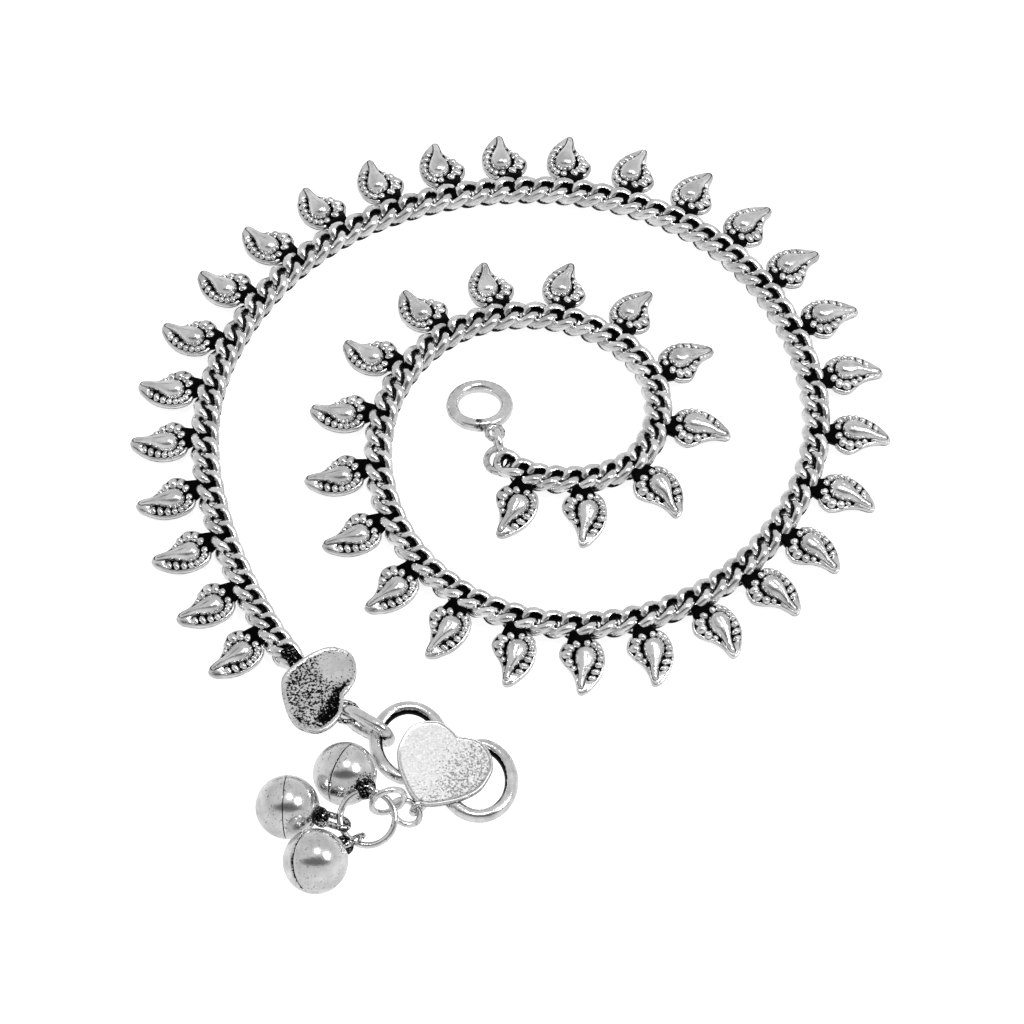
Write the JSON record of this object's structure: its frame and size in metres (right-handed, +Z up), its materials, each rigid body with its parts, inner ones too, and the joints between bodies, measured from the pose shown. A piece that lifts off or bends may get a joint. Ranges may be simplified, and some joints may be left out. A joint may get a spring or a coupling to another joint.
{
  "type": "charm anklet",
  "caption": "Charm anklet laid in a loose spiral: a curb chain with beaded leaf-shaped charms, a heart end plate, an S-shaped hook, a closing ring and a drop of round bells.",
  "frame": {"origin": "on the surface the anklet lies on, under the middle of its bounding box", "axes": "+Z up, +X to the right and +Y to the back as the spiral is seen with its clasp at the front left"},
  "size_m": [0.068, 0.082, 0.0057],
  "materials": {
    "oxidised_silver": "oxidised, polished on the high places",
    "bright_silver": "bright, finely stippled",
    "pitted_silver": "oxidised, pitted"
  },
  "bodies": {
    "root": {"curb_chain_outer": "oxidised_silver", "curb_chain_inner": "oxidised_silver", "paisley_charm_01": "oxidised_silver", "paisley_charm_02": "oxidised_silver", "paisley_charm_03": "oxidised_silver", "paisley_charm_04": "oxidised_silver", "paisley_charm_05": "oxidised_silver", "paisley_charm_06": "oxidised_silver", "paisley_charm_07": "oxidised_silver", "paisley_charm_08": "oxidised_silver", "paisley_charm_09": "oxidised_silver", "paisley_charm_10": "oxidised_silver", "paisley_charm_11": "oxidised_silver", "paisley_charm_12": "oxidised_silver", "paisley_charm_13": "oxidised_silver", "paisley_charm_14": "oxidised_silver", "paisley_charm_15": "oxidised_silver", "paisley_charm_16": "oxidised_silver", "paisley_charm_17": "oxidised_silver", "paisley_charm_18": "oxidised_silver", "paisley_charm_19": "oxidised_silver", "paisley_charm_20": "oxidised_silver", "paisley_charm_21": "oxidised_silver", "paisley_charm_22": "oxidised_silver", "paisley_charm_23": "oxidised_silver", "paisley_charm_24": "oxidised_silver", "paisley_charm_25": "oxidised_silver", "paisley_charm_26": "oxidised_silver", "paisley_charm_27": "oxidised_silver", "paisley_charm_28": "oxidised_silver", "paisley_charm_29": "oxidised_silver", "paisley_charm_30": "oxidised_silver", "paisley_charm_31": "oxidised_silver", "paisley_charm_32": "oxidised_silver", "paisley_charm_33": "oxidised_silver", "paisley_charm_34": "oxidised_silver", "paisley_charm_35": "oxidised_silver", "paisley_charm_36": "oxidised_silver", "paisley_charm_37": "oxidised_silver", "paisley_charm_38": "oxidised_silver", "paisley_charm_39": "oxidised_silver", "paisley_charm_40": "oxidised_silver", "paisley_charm_41": "oxidised_silver", "paisley_charm_42": "oxidised_silver", "paisley_charm_43": "oxidised_silver", "heart_end_plate": "pitted_silver", "oval_jump_ring": "oxidised_silver", "s_hook_clasp": "bright_silver", "bell_link_1": "oxidised_silver", "bell_link_2": "oxidised_silver", "bell_ring": "oxidised_silver", "bell_1": "oxidised_silver", "bell_2": "oxidised_silver", "bell_3": "oxidised_silver", "end_link_1": "oxidised_silver", "end_link_2": "oxidised_silver", "end_ring": "oxidised_silver"}
  },
  "joints": []
}
